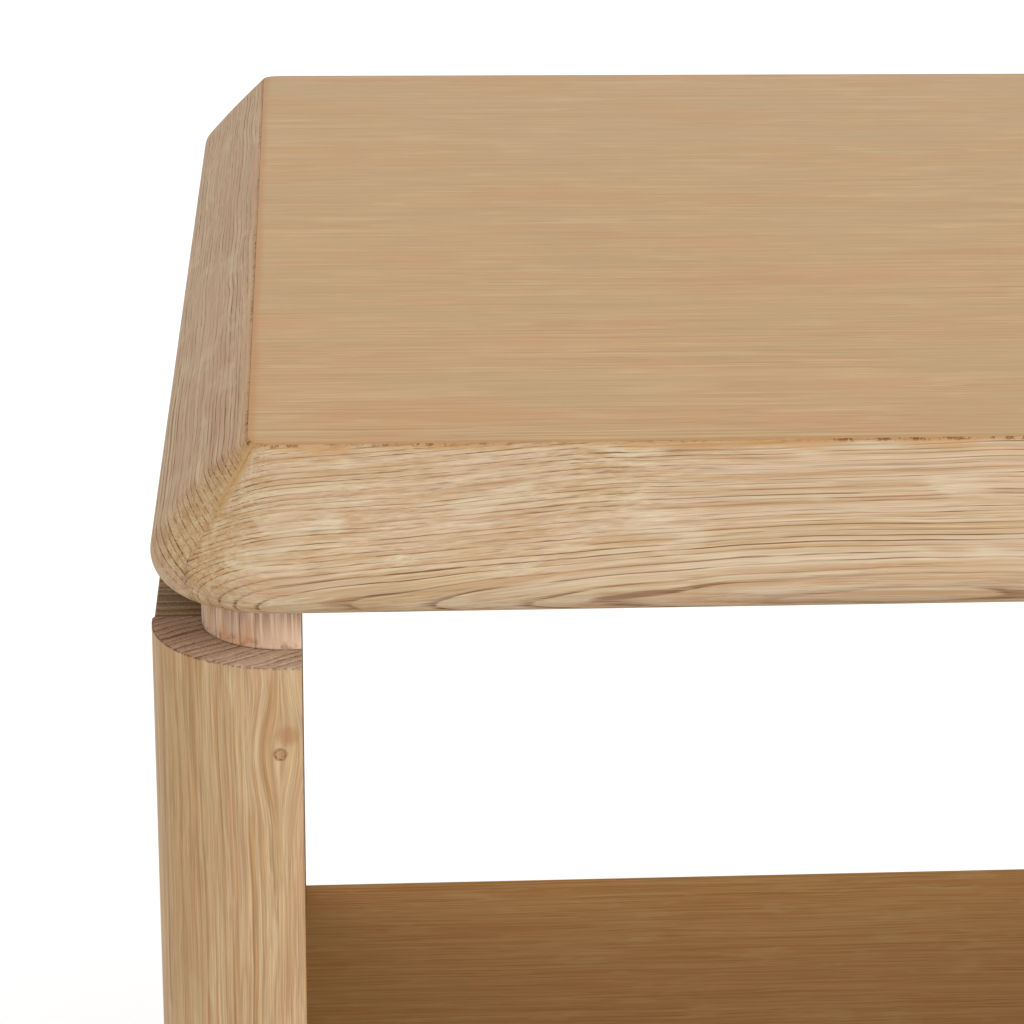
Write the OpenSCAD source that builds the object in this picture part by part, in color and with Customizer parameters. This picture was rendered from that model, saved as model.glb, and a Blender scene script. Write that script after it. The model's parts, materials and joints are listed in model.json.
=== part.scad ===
// Side table with one drawer and an open compartment above it.
// Millimetres, +Z up. Origin: on the floor, under the centre of the table.
// The drawer faces -Y.

/* [Overall] */
// Width over the legs
width = 500; // [420:5:640]
// Depth over the legs
depth = 500; // [460:5:600]
// Height of the table top above the floor
height = 550; // [480:5:640]

/* [Table top] */
// Thickness of the top
top_thickness = 33; // [30:1:40]
// Distance from the legs' outer faces in to the outline of the top
top_setback = 0.3; // [0.2:0.1:3]
// Width of the solid lipping, seen from above
rim_width = 21.5; // [18:0.5:26]
// Radius of the rounded nose of the lipping
nose_radius = 8; // [6:0.5:12]
// Radius of the slightly domed face between the nose and the inner arris
dome_radius = 130; // [90:5:300]
// Radius of the upright corners of the top
top_corner_radius = 28; // [15:1:32]

/* [Legs] */
// Section of a leg, square
leg_size = 33; // [32:1:45]
// Radius of a leg's outer corner
leg_corner_radius = 30; // [15:1:30]
// How far the neck is cut back from the leg's outer faces
neck_inset = 11; // [6:0.5:14]
// Height of the shadow gap between the ledge and the top
shadow_gap = 10; // [6:0.5:16]

/* [Side panels] */
// Thickness of a solid side panel
side_thickness = 22; // [18:1:26]
// Distance from the legs' outer faces in to the panel's outer face
side_setback = 0.5; // [0.3:0.1:2]

/* [Case] */
// Height of the compartment floor above the ground
shelf_height = 220; // [190:1:260]
// Thickness of the shelf and of the case bottom
board_thickness = 18; // [16:1:22]
// Clear height of the drawer opening
opening_height = 110; // [105:1:130]
// Width of the edge lippings of the boards
edge_width = 18; // [16:1:20]
// Distance from the legs' outer faces in to the board edges
board_setback = 4; // [2:0.5:8]
// Thickness of the case back
back_thickness = 8; // [6:1:10]

/* [Drawer] */
// Thickness of the show front
front_thickness = 20; // [18:1:24]
// Gap around the show front
front_gap = 2; // [1.5:0.5:3]
// Width of the finger scoop in the top edge of the front
scoop_width = 110; // [80:5:160]
// Depth of the finger scoop
scoop_depth = 20; // [14:1:26]
// Thickness of the drawer box sides
box_thickness = 12; // [10:1:14]
// Height of the drawer box
box_height = 84; // [70:1:90]
// Length of the drawer box behind the show front
box_length = 420; // [410:5:430]
// Thickness of the drawer bottom
bottom_thickness = 6; // [4:1:8]
// Width of the drawer box's space on each side, taken up by a slide
slide_width = 13; // [12.7:0.1:14]

/* [Slides] */
// Length of a slide when it is shut
slide_length = 400; // [300:50:400]
// Height of a slide's outer member
slide_height = 45; // [40:1:46]
// Thickness of the slide's sheet steel
sheet = 1.2; // [1:0.1:1.5]

/* [Hidden] */

$fn = 64;
hair = 0.01;               // overlap that keeps cuts clean

half_w = width / 2;
half_d = depth / 2;
under_z = height - top_thickness;       // underside of the top
ledge_z = under_z - shadow_gap;         // ledge of legs and side panels
outline_w = half_w - top_setback;       // half width of the top's outline
outline_d = half_d - top_setback;
panel_w = outline_w - rim_width;        // half width of the veneered board
panel_d = outline_d - rim_width;

leg_in_w = half_w - leg_size;           // half distance between the legs, across
leg_in_d = half_d - leg_size;
side_out = half_w - side_setback;       // outer face of a side panel
side_in = side_out - side_thickness;    // its inner face

shelf_z = shelf_height - board_thickness;
opening_z = shelf_z - opening_height;   // floor of the drawer opening
case_z = opening_z - board_thickness;   // underside of the case
board_d = half_d - board_setback;       // half depth of the shelf over its lippings
groove_depth = 6;
back_inset = 12;                        // from the boards' back edges to the case back
groove_y = board_d - back_inset;        // front face of the case back
fit_gap = 0.25;

// drawer
front_proud = 2;                        // the show front stands proud of the boards
front_y = -board_d - front_proud;       // outer face of the show front
front_back_y = front_y + front_thickness;
box_y = front_back_y + box_thickness;   // back face of the inner front
box_end = front_back_y + box_length;
box_half = leg_in_w - slide_width;
box_lift = 12;                          // from the opening's floor to the drawer box
box_z = opening_z + box_lift;
bottom_lift = 10;                       // from the box's lower edge to its bottom board
bottom_z = box_z + bottom_lift;
scoop_top = shelf_z - front_gap;        // top edge of the show front

// slides
slide_z = box_z + box_height / 2;
slide_start = 4;                        // from the show front's back to the slides
slide_y = front_back_y + slide_start;   // front end of the slides
ball_gap = 1.8;                         // room for the balls between two members
middle_height = slide_height - 2 * sheet - 2 * ball_gap;
inner_height = middle_height - 2 * sheet - 2 * ball_gap;
middle_step = 2.2;                      // from the outer member's web to the middle member's
outer_depth = 9.5;                      // how far the outer member's lips reach inwards
middle_depth = 8;
inner_depth = 6;                        // how far the inner member's lips reach outwards
screw_ys = [for (share = [0.1, 0.5, 0.9]) share * slide_length];
spacer_height = 60;

// fixings; a screw is [shank radius, length, head radius, head height]
dowel_r = 4;
thin_dowel_r = 3;
bore_gap = 0.1;                         // glue line around a dowel
neck_dowel_in = 6;                      // dowel centre from the leg's inner faces
neck_dowel_length = 50;
leg_dowel_length = 40;
tongue_dowel_length = 36;
board_dowel_length = 24;
board_dowel_in = 2;                     // dowel centre inward of the side panel's face
leg_dowel_zs = [for (share = [0.12, 0.5, 0.88]) case_z + share * (ledge_z - case_z)];
board_dowel_ys = [-150, 0, 150];
tongue_x = (half_w - neck_inset + side_in) / 2;
tongue_dowel_ys = [-160, 0, 160];
leg_dowel_x = side_out - side_thickness / 2;
front_screw_xs = [-150, 150];
front_screw_zs = [24, 60];              // above the drawer box's lower edge
case_screw = [1.9, 22, 3.5, 1.5];
drawer_screw = [1.7, 10, 3, 1.4];
front_screw = [2, 26, 4, 1.6];
glide_thickness = 3;
glide_r = 10;
pin_r = 1.5;
pin_length = 18;

oak = "BurlyWood";
pale = "Wheat";
steel = "Silver";

// ---- outlines and shapes that repeat ----

// Square with one rounded corner at the origin, where the outer faces meet
module post_outline(size, radius) {
    intersection() {
        square(size);
        union() {
            translate([radius, radius]) circle(radius);
            translate([radius, 0]) square(size);
            translate([0, radius]) square(size);
        }
    }
}

// Upright corner outline of the top
module top_outline() {
    square([2 * (outline_w - top_corner_radius), 2 * outline_d], center = true);
    square([2 * outline_w, 2 * (outline_d - top_corner_radius)], center = true);
    for (sx = [-1, 1], sy = [-1, 1])
        translate([sx * (outline_w - top_corner_radius), sy * (outline_d - top_corner_radius)])
            circle(top_corner_radius);
}

// Section of the lipping: x outward from the board, y up from the underside.
// The domed face starts at the arris and runs into the nose where the two arcs touch.
nose = [rim_width - nose_radius, nose_radius];
arris = [0, top_thickness];
lean = arris - nose;
reach = norm(lean);
swing = acos((pow(dome_radius - nose_radius, 2) + pow(reach, 2) - pow(dome_radius, 2))
        / (2 * (dome_radius - nose_radius) * reach));
dome_angle = atan2(lean[1], lean[0]) + swing;
dome = nose + (dome_radius - nose_radius) * [cos(dome_angle), sin(dome_angle)];
arris_angle = atan2(arris[1] - dome[1], arris[0] - dome[0]);
touch_angle = dome_angle - 180;
touch_skip = 3;                         // degrees past the touch where the nose begins
dome_steps = 6;
nose_steps = 16;

function arc_points(centre, radius, from, to, steps) =
    [for (i = [0:steps]) let (a = from + (to - from) * i / steps)
        centre + radius * [cos(a), sin(a)]];

module rim_section() {
    polygon(concat([[0, 0]],
        arc_points(dome, dome_radius, arris_angle, touch_angle, dome_steps),
        arc_points(nose, nose_radius, touch_angle - touch_skip, -90, nose_steps)));
}

// One lipping along the front edge, mitred at both ends, of a top that is 2*half long
module rim_piece(half, out, board) {
    intersection() {
        translate([0, -board, under_z])
            rotate([90, 0, 90])
            mirror([1, 0, 0])
            linear_extrude(height = 2 * half + 2, center = true)
                rim_section();
        translate([0, 0, under_z - 1])
            linear_extrude(height = top_thickness + 2)
                polygon([[-half - hair, -out - hair], [half + hair, -out - hair],
                         [half - rim_width, -board], [-half + rim_width, -board]]);
        translate([0, 0, under_z - 1])
            linear_extrude(height = top_thickness + 2)
                top_outline();
    }
}

module rim(side) {
    color(oak) difference() {
        if (side == "front") rim_piece(outline_w, outline_d, panel_d);
        if (side == "back") rotate([0, 0, 180]) rim_piece(outline_w, outline_d, panel_d);
        if (side == "left") rotate([0, 0, -90]) rim_piece(outline_d, outline_w, panel_w);
        if (side == "right") rotate([0, 0, 90]) rim_piece(outline_d, outline_w, panel_w);
        if (side == "left") panel_top_bores(-1);
        if (side == "right") panel_top_bores(1);
    }
}

// Plain dowel between two points on one axis
module dowel(radius, length, gap = 0) {
    cylinder(r = radius + gap, h = length + 2 * gap, center = true);
}

module neck_dowel_at(sx, sy, gap = 0) {
    translate([sx * (leg_in_w + neck_dowel_in), sy * (leg_in_d + neck_dowel_in), under_z])
        dowel(dowel_r, neck_dowel_length, gap);
}

module panel_top_bores(sx, gap = bore_gap) {
    for (y = tongue_dowel_ys)
        translate([sx * tongue_x, y, under_z]) dowel(thin_dowel_r, tongue_dowel_length, gap);
}

module leg_dowels_at(sx, sy, gap = 0) {
    for (z = leg_dowel_zs)
        translate([sx * leg_dowel_x, sy * leg_in_d, z])
            rotate([90, 0, 0]) dowel(dowel_r, leg_dowel_length, gap);
}

// Dowels that carry a board between the side panels and between the legs
module board_dowels_at(sx, z, gap = 0) {
    for (y = board_dowel_ys)
        translate([sx * (side_in - board_dowel_in), y, z])
            rotate([0, 90, 0]) dowel(thin_dowel_r, board_dowel_length, gap);
    translate([sx * leg_in_w, -board_d + edge_width / 2, z])
        rotate([0, 90, 0]) dowel(thin_dowel_r, board_dowel_length, gap);
}

shelf_dowel_z = shelf_z + board_thickness / 2;
bottom_dowel_z = case_z + board_thickness / 2;

// ---- table top ----

module top_panel() {
    color(oak) difference() {
        translate([-panel_w, -panel_d, under_z]) cube([2 * panel_w, 2 * panel_d, top_thickness]);
        for (sx = [-1, 1], sy = [-1, 1]) neck_dowel_at(sx, sy, bore_gap);
    }
}

// ---- legs ----

module leg(sx, sy) {
    color(oak) difference() {
        translate([sx < 0 ? -half_w : half_w, sy < 0 ? -half_d : half_d, 0])
            mirror([sx < 0 ? 0 : 1, 0, 0])
            mirror([0, sy < 0 ? 0 : 1, 0]) {
                translate([0, 0, glide_thickness])
                    linear_extrude(height = ledge_z - glide_thickness)
                        post_outline(leg_size, leg_corner_radius);
                translate([neck_inset, neck_inset, ledge_z - 1])
                    linear_extrude(height = shadow_gap + 1)
                        post_outline(leg_size - neck_inset, leg_corner_radius - neck_inset);
            }
        neck_dowel_at(sx, sy, bore_gap);
        leg_dowels_at(sx, sy, bore_gap);
        if (sy < 0) {
            board_dowels_at(sx, shelf_dowel_z, bore_gap);
            board_dowels_at(sx, bottom_dowel_z, bore_gap);
        }
        glide_pin_at(sx, sy, bore_gap);
    }
}

// ---- side panels ----

module side_panel(sx) {
    color(oak) difference() {
        union() {
            translate([sx < 0 ? -side_out : side_in, -leg_in_d, case_z])
                cube([side_thickness, 2 * leg_in_d, ledge_z - case_z]);
            translate([sx < 0 ? -half_w + neck_inset : side_in, -leg_in_d, ledge_z - 1])
                cube([half_w - neck_inset - side_in, 2 * leg_in_d, shadow_gap + 1]);
        }
        panel_top_bores(sx);
        for (sy = [-1, 1]) leg_dowels_at(sx, sy, bore_gap);
        board_dowels_at(sx, shelf_dowel_z, bore_gap);
        board_dowels_at(sx, bottom_dowel_z, bore_gap);
        case_screws_at(sx, bore_gap);
    }
}

// ---- shelf and case ----

// Board with notches for the legs, from the front lipping to y_end
module notched_board(z, y_end) {
    translate([-side_in, -leg_in_d, z]) cube([2 * side_in, 2 * leg_in_d, board_thickness]);
    translate([-leg_in_w, -board_d + edge_width, z])
        cube([2 * leg_in_w, y_end + board_d - edge_width, board_thickness]);
}

module shelf_panel() {
    color(oak) difference() {
        notched_board(shelf_z, board_d - edge_width);
        for (sx = [-1, 1]) board_dowels_at(sx, shelf_dowel_z, bore_gap);
    }
}

module shelf_front_edge() {
    color(oak) difference() {
        translate([-leg_in_w, -board_d, shelf_z]) cube([2 * leg_in_w, edge_width, board_thickness]);
        for (sx = [-1, 1]) board_dowels_at(sx, shelf_dowel_z, bore_gap);
    }
}

module back_groove(z) {
    translate([-leg_in_w - 1, groove_y, z])
        cube([2 * leg_in_w + 2, back_thickness, groove_depth + hair]);
}

module shelf_back_edge() {
    color(oak) difference() {
        translate([-leg_in_w, board_d - edge_width, shelf_z])
            cube([2 * leg_in_w, edge_width, board_thickness]);
        back_groove(shelf_z - hair);
    }
}

module case_bottom() {
    color(oak) difference() {
        notched_board(case_z, board_d);
        back_groove(opening_z - groove_depth);
        for (sx = [-1, 1]) board_dowels_at(sx, bottom_dowel_z, bore_gap);
    }
}

module case_bottom_edge() {
    color(oak) difference() {
        translate([-leg_in_w, -board_d, case_z]) cube([2 * leg_in_w, edge_width, board_thickness]);
        for (sx = [-1, 1]) board_dowels_at(sx, bottom_dowel_z, bore_gap);
    }
}

module case_back() {
    back_h = opening_height + 2 * groove_depth - 2 * fit_gap;
    color(oak) translate([-leg_in_w + fit_gap, groove_y + fit_gap, opening_z - groove_depth + fit_gap])
        cube([2 * leg_in_w - 2 * fit_gap, back_thickness - 2 * fit_gap, back_h]);
}

module runner_spacer(sx) {
    color(pale) difference() {
        translate([sx < 0 ? -side_in : leg_in_w, -leg_in_d, slide_z - spacer_height / 2])
            cube([side_in - leg_in_w, 2 * leg_in_d, spacer_height]);
        case_screws_at(sx, bore_gap);
    }
}

// ---- slides; drawn for the right side and mirrored for the left ----

// Channel of sheet steel: its web stands at web_x and its lips reach to reach_x
module channel(web_x, reach_x, tall) {
    low = min(web_x, reach_x);
    deep = abs(reach_x - web_x);
    translate([min(web_x, web_x + sign(reach_x - web_x) * sheet), slide_y, slide_z - tall / 2])
        cube([sheet, slide_length, tall]);
    for (z = [slide_z - tall / 2, slide_z + tall / 2 - sheet])
        translate([low, slide_y, z]) cube([deep, slide_length, sheet]);
}

module runner_outer(sx) {
    color(steel) difference() {
        mirror([sx < 0 ? 1 : 0, 0, 0]) channel(leg_in_w, leg_in_w - outer_depth, slide_height);
        case_screws_at(sx, bore_gap);
    }
}

module runner_middle(sx) {
    web = leg_in_w - sheet - middle_step;
    color(steel) mirror([sx < 0 ? 1 : 0, 0, 0]) channel(web, web - middle_depth, middle_height);
}

module runner_inner(sx) {
    color(steel) difference() {
        mirror([sx < 0 ? 1 : 0, 0, 0]) channel(box_half, box_half + inner_depth, inner_height);
        drawer_screws_at(sx, bore_gap);
    }
}

// Pan head screw along +X, its head's seat at the origin; a gap makes its hole instead
module screw(sizes, gap = 0) {
    rotate([0, 90, 0]) cylinder(r = sizes[0] + gap, h = sizes[1] + gap);
    if (gap == 0) rotate([0, -90, 0]) cylinder(r = sizes[2], h = sizes[3]);
}

module case_screws_at(sx, gap = 0) {
    for (y = screw_ys)
        mirror([sx < 0 ? 1 : 0, 0, 0])
            translate([leg_in_w - sheet, slide_y + y, slide_z])
                screw(case_screw, gap);
}

module drawer_screws_at(sx, gap = 0) {
    for (y = screw_ys)
        mirror([sx < 0 ? 1 : 0, 0, 0])
            translate([box_half + sheet, slide_y + y, slide_z])
                mirror([1, 0, 0]) screw(drawer_screw, gap);
}

// ---- drawer ----

module scoop() {
    flat = scoop_width - 2 * scoop_depth;
    translate([0, front_y - 1, scoop_top])
        rotate([-90, 0, 0])
        linear_extrude(height = front_thickness + box_thickness + 2) {
            for (sx = [-1, 1]) translate([sx * flat / 2, 0]) circle(scoop_depth);
            square([flat, 2 * scoop_depth], center = true);
        }
}

module drawer_front() {
    color(oak) difference() {
        translate([-leg_in_w + front_gap, front_y, opening_z + front_gap])
            cube([2 * (leg_in_w - front_gap), front_thickness, opening_height - 2 * front_gap]);
        scoop();
        front_screws_at(bore_gap);
    }
}

// Groove for the drawer bottom, cut into the inside of the box
module bottom_groove() {
    translate([-box_half + groove_depth, front_back_y + groove_depth, bottom_z])
        cube([2 * (box_half - groove_depth), box_length - 2 * groove_depth, bottom_thickness]);
}

module drawer_box_front() {
    color(pale) difference() {
        translate([-box_half + box_thickness, front_back_y, box_z])
            cube([2 * (box_half - box_thickness), box_thickness, box_height]);
        bottom_groove();
        scoop();
        front_screws_at(bore_gap);
    }
}

module drawer_side(sx) {
    color(pale) difference() {
        translate([sx < 0 ? -box_half : box_half - box_thickness, front_back_y, box_z])
            cube([box_thickness, box_length, box_height]);
        bottom_groove();
        drawer_screws_at(sx, bore_gap);
    }
}

module drawer_back() {
    color(pale) difference() {
        translate([-box_half + box_thickness, box_end - box_thickness, box_z])
            cube([2 * (box_half - box_thickness), box_thickness, box_height]);
        bottom_groove();
    }
}

module drawer_bottom() {
    color(pale)
        translate([-box_half + groove_depth + fit_gap, front_back_y + groove_depth + fit_gap,
                   bottom_z + fit_gap / 2])
            cube([2 * (box_half - groove_depth - fit_gap),
                  box_length - 2 * (groove_depth + fit_gap), bottom_thickness - fit_gap]);
}

module front_screws_at(gap = 0) {
    for (x = front_screw_xs, z = front_screw_zs)
        translate([x, box_y, box_z + z])
            rotate([0, 0, -90]) screw(front_screw, gap);
}

// ---- fixings and feet ----

module neck_dowels() {
    color(pale) for (sx = [-1, 1], sy = [-1, 1]) neck_dowel_at(sx, sy);
}

module panel_top_dowels() {
    color(pale) for (sx = [-1, 1]) panel_top_bores(sx, 0);
}

module leg_dowels() {
    color(pale) for (sx = [-1, 1], sy = [-1, 1]) leg_dowels_at(sx, sy);
}

module shelf_dowels() {
    color(pale) for (sx = [-1, 1]) board_dowels_at(sx, shelf_dowel_z);
}

module bottom_dowels() {
    color(pale) for (sx = [-1, 1]) board_dowels_at(sx, bottom_dowel_z);
}

module runner_case_screws() {
    color(steel) for (sx = [-1, 1]) case_screws_at(sx);
}

module runner_drawer_screws() {
    color(steel) for (sx = [-1, 1]) drawer_screws_at(sx);
}

module drawer_front_screws() {
    color(steel) front_screws_at();
}

module glide_pin_at(sx, sy, gap = 0) {
    translate([sx * (half_w - leg_size / 2), sy * (half_d - leg_size / 2), glide_thickness - 1])
        cylinder(r = pin_r + gap, h = pin_length + 1 + gap);
}

module foot_glides() {
    color("Gainsboro") for (sx = [-1, 1], sy = [-1, 1]) {
        translate([sx * (half_w - leg_size / 2), sy * (half_d - leg_size / 2), 0])
            cylinder(r = glide_r, h = glide_thickness);
        glide_pin_at(sx, sy);
    }
}

top_panel();
rim("front");  // rim_front
rim("back");  // rim_back
rim("left");  // rim_left
rim("right");  // rim_right
leg(-1, -1);  // leg_front_left
leg(1, -1);  // leg_front_right
leg(-1, 1);  // leg_back_left
leg(1, 1);  // leg_back_right
side_panel(-1);  // side_panel_left
side_panel(1);  // side_panel_right
shelf_panel();
shelf_front_edge();
shelf_back_edge();
case_bottom();
case_bottom_edge();
case_back();
runner_spacer(-1);  // runner_spacer_left
runner_spacer(1);  // runner_spacer_right
runner_outer(-1);  // runner_outer_left
runner_outer(1);  // runner_outer_right
runner_middle(-1);  // runner_middle_left
runner_middle(1);  // runner_middle_right
runner_inner(-1);  // runner_inner_left
runner_inner(1);  // runner_inner_right
drawer_front();
drawer_box_front();
drawer_side(-1);  // drawer_side_left
drawer_side(1);  // drawer_side_right
drawer_back();
drawer_bottom();
neck_dowels();
panel_top_dowels();
leg_dowels();
shelf_dowels();
bottom_dowels();
runner_case_screws();
runner_drawer_screws();
drawer_front_screws();
foot_glides();
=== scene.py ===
# %% [markdown]
# A side table in oak: a framed top that seems to float on four notched legs, solid
# sides, an open compartment, and a drawer on steel slides below it. The frame gives
# each piece its place and size, in metres, and says which body it moves with.

# %% The frame
import json
from math import radians
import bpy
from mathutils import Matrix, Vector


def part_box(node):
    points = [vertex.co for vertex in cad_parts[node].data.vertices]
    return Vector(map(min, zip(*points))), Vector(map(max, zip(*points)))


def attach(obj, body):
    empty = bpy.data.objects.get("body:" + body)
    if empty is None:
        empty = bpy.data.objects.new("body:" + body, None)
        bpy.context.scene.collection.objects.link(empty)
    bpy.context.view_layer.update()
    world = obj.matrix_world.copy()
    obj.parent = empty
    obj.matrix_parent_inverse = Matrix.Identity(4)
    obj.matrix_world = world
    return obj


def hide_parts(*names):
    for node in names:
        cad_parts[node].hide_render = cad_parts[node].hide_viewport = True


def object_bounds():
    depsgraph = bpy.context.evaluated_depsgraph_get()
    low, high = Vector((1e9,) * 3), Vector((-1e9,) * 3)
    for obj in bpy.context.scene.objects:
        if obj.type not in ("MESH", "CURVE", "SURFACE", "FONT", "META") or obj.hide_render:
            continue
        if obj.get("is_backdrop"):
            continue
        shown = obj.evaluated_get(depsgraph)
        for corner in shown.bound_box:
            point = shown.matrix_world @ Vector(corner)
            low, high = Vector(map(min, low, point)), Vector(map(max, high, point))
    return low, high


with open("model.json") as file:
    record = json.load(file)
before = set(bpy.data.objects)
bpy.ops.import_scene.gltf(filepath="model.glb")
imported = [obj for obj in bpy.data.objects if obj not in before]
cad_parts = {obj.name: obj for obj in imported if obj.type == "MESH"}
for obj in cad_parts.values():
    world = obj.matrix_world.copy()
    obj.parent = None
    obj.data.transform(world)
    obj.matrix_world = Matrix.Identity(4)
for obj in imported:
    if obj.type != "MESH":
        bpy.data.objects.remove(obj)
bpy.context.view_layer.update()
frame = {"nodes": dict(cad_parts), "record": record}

from types import SimpleNamespace

import bpy
import numpy as np
from mathutils import Matrix, Vector

# %% [markdown]
# What the frame lacks is the maker's touch: softened arrises, a rim whose mitred
# corners are sanded round, and wood that has grain all the way through. So every board
# is made again as a surface with its own rounded edges, and every board gets wood whose
# rings run through it as through a real plank. This cell reads the sizes that all the
# pieces share.

# %% Sizes shared by the pieces, in metres
MM = 0.001
MM_PER_METRE = 1000


def corners(node):
    """Lowest and highest corner of a node of the frame, as arrays."""
    low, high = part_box(node)
    return np.array(low), np.array(high)


panel_low, panel_high = corners("top_panel")
leg_low, leg_high = corners("leg_front_left")
neck_z = leg_high[2]
top_z = panel_high[2]
under_z = panel_low[2]
panel_half = panel_high[0]
outline_half = -corners("rim_left")[0][0]
rim_width = outline_half - panel_half
leg_size = leg_high[0] - leg_low[0]
print("top", round(2 * outline_half / MM), "mm wide, rim", round(rim_width / MM, 1),
      "mm, leg", round(leg_size / MM, 1), "mm")

# %% [markdown]
# Every piece of wood here is a grid: rows are closed outlines, and each row sits a
# little higher or further in than the one before. Where points coincide they are
# welded, and flat faces close the first and the last row, so the piece is one skin.
# Right beside each rounded edge runs a support line a quarter of a millimetre in,
# which keeps the flat faces flat when the shading is smoothed.

# %% From grids of points to closed skins
SUPPORT = 0.25 * MM
WELDS_PER_METRE = 1e7


def grid_faces(rows, cols, closed):
    """Corner numbers of the quads of a grid; closed joins the last column to the first."""
    index = np.arange(rows * cols).reshape(rows, cols)
    right = np.roll(index, -1, axis=1) if closed else index[:, 1:]
    left = index if closed else index[:, :-1]
    return np.stack([left[:-1], right[:-1], right[1:], left[1:]], axis=-1).reshape(-1, 4)


def weld(points, quads):
    """Merges points closer than a tenth of a micron, and drops what that flattens."""
    keys = np.round(points * WELDS_PER_METRE).astype(np.int64)
    _, first, place = np.unique(keys, axis=0, return_index=True, return_inverse=True)
    quads = place.reshape(-1)[quads]
    doubled = quads == np.roll(quads, -1, axis=1)
    whole = quads[doubled.sum(axis=1) == 0]
    cut = doubled.sum(axis=1) == 1
    triangles = quads[cut][~doubled[cut]].reshape(-1, 3)
    return points[first], whole, triangles, place.reshape(-1)


def end_cap(loop):
    """One flat face over an end row, without the points that the row doubles."""
    return loop[loop != np.roll(loop, 1)]


print("a closed grid of 3 rows and 8 columns has", len(grid_faces(3, 8, True)), "faces")

# %% [markdown]
# A hand that passes over a piece of furniture for years burnishes its edges first. To
# let the wood know where they are, each finished mesh measures where it bends: points
# on a rounded arris get an "edge" value of one, and points on flat faces get zero. The
# value is stored on the mesh, where the material can read it.

# %% Where a mesh bends
BEND_LEAST = 0.003
BEND_SPAN = 0.006


def mark_edges(mesh):
    """Stores how sharply the skin bends at each point, from 0 flat to 1 on an arris.

    The bend is one less the smallest cosine between the point's normal and the normals
    of the faces around it.
    """
    point = np.empty(len(mesh.loops), np.int32)
    mesh.loops.foreach_get("vertex_index", point)
    count = np.empty(len(mesh.polygons), np.int32)
    mesh.polygons.foreach_get("loop_total", count)
    face = np.empty(3 * len(mesh.polygons))
    mesh.polygon_normals.foreach_get("vector", face)
    own = np.empty(3 * len(mesh.vertices))
    mesh.vertex_normals.foreach_get("vector", own)
    face = np.repeat(face.reshape(-1, 3), count, axis=0)
    cosine = (face * own.reshape(-1, 3)[point]).sum(axis=1)
    least = np.ones(len(mesh.vertices))
    np.minimum.at(least, point, cosine)
    edge = np.clip((1 - least - BEND_LEAST) / BEND_SPAN, 0, 1)
    mesh.attributes.new("edge", "FLOAT", "POINT").data.foreach_set("value", edge)


print("an arris bends fully past", round(np.degrees(np.arccos(1 - BEND_LEAST - BEND_SPAN)), 1),
      "degrees")

# %% [markdown]
# A finished piece is one mesh with its material. It rides on a body of the frame and takes
# the place of a node there. Its volume comes from the tetrahedra between its faces and the
# origin: if that sum were negative, the piece would be inside out.

# %% From skins to pieces of the table
SLOTS = {part["node"]: part["material_slot"] for part in frame["record"]["subparts"]}
SHARP = radians(40)


def make_piece(name, grid, material, body, node, capped=True):
    """Welds a grid into one mesh that stands for a node of the frame.

    A capped grid has closed rows, and flat faces over its first and last row.
    """
    rows, cols = grid.shape[:2]
    verts, whole, triangles, place = weld(grid.reshape(-1, 3), grid_faces(rows, cols, capped))
    caps = [end_cap(place[:cols][::-1]), end_cap(place[-cols:])] if capped else []
    faces = whole.tolist() + triangles.tolist() + [cap.tolist() for cap in caps]
    mesh = bpy.data.meshes.new(name)
    mesh.from_pydata(verts.tolist(), [], faces)
    mesh.shade_smooth()
    mark_edges(mesh)
    mesh.set_sharp_from_angle(angle=SHARP)
    mesh.materials.append(material)
    piece = bpy.data.objects.new(name, mesh)
    bpy.context.scene.collection.objects.link(piece)
    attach(piece, body)
    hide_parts(node)
    fans = [np.stack([np.full(len(cap) - 2, cap[0]), cap[1:-1], cap[2:]], axis=1)
            for cap in caps]
    fan = np.concatenate([whole[:, :3], whole[:, [0, 2, 3]], triangles] + fans)
    a, b, c = np.moveaxis(verts[fan], 1, 0)
    volume = (a * np.cross(b, c)).sum() / 6
    print(name, len(verts), "points,", round(volume * 1e6, 1), "cm3")
    assert volume > 0, name + " is inside out"


print("the frame asks for", len(set(SLOTS.values())), "finishes on", len(SLOTS), "nodes")

# %% [markdown]
# Nearly all the outlines in this table have square corners that are then rounded: a
# board, a board notched round the legs, a drawer front with its finger scoop, the
# stepped section of a side. One function draws them all. It takes the corner points,
# gives each its own fillet, and can shrink the whole outline inwards, which is how the
# arrises are turned.

# %% Outlines with filleted corners, and boards swept from them
ARRIS_TURNS = 4


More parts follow.
